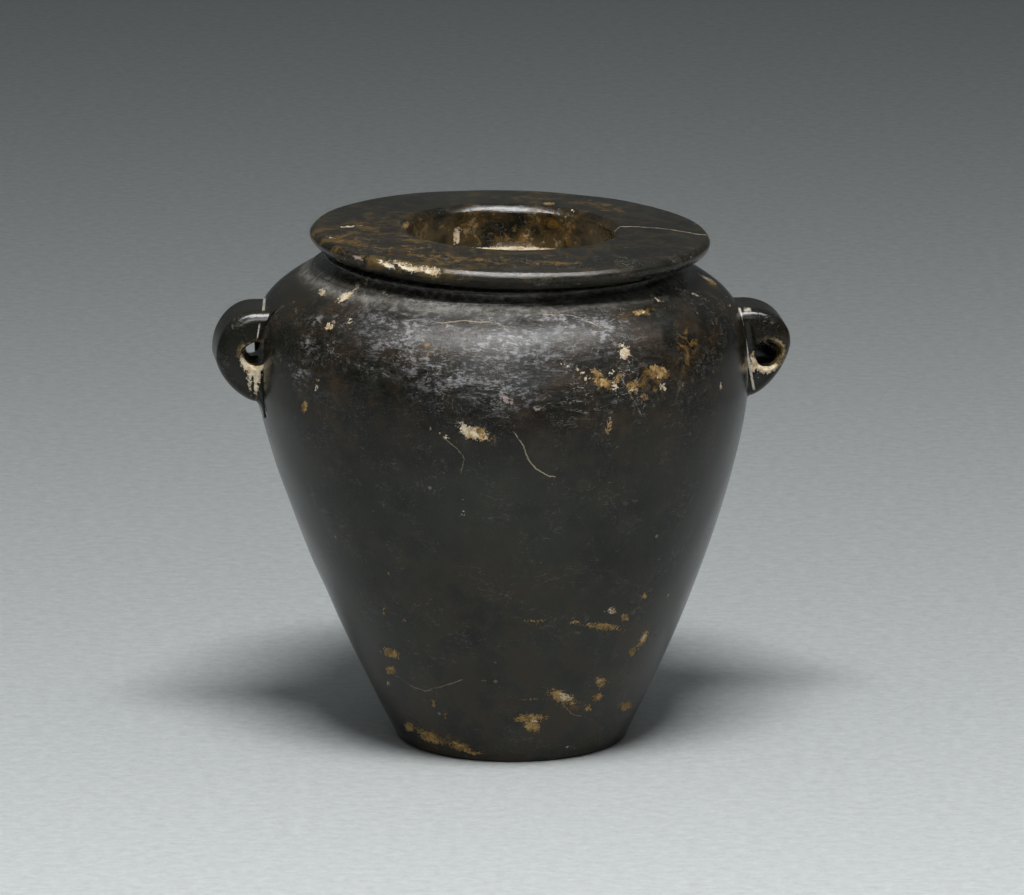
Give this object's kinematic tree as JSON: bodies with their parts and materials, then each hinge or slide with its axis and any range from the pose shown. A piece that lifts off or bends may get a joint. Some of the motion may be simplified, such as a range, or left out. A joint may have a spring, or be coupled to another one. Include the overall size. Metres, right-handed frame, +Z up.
{
  "type": "stone jar",
  "caption": "Squat shouldered serpentine jar with a broad flat rim, a drilled hollow, a narrow flat foot and a small pierced lug handle at each side.",
  "frame": {"origin": "centre of the flat underside", "axes": "+Z up out of the mouth, +X from the left lug to the right lug, -Y is the front that the picture shows"},
  "size_m": [0.1041, 0.0886, 0.0942],
  "materials": {
    "serpentine": "polished by hand, black-green, with worn and stained patches"
  },
  "bodies": {
    "root": {"jar": "serpentine"}
  },
  "joints": []
}
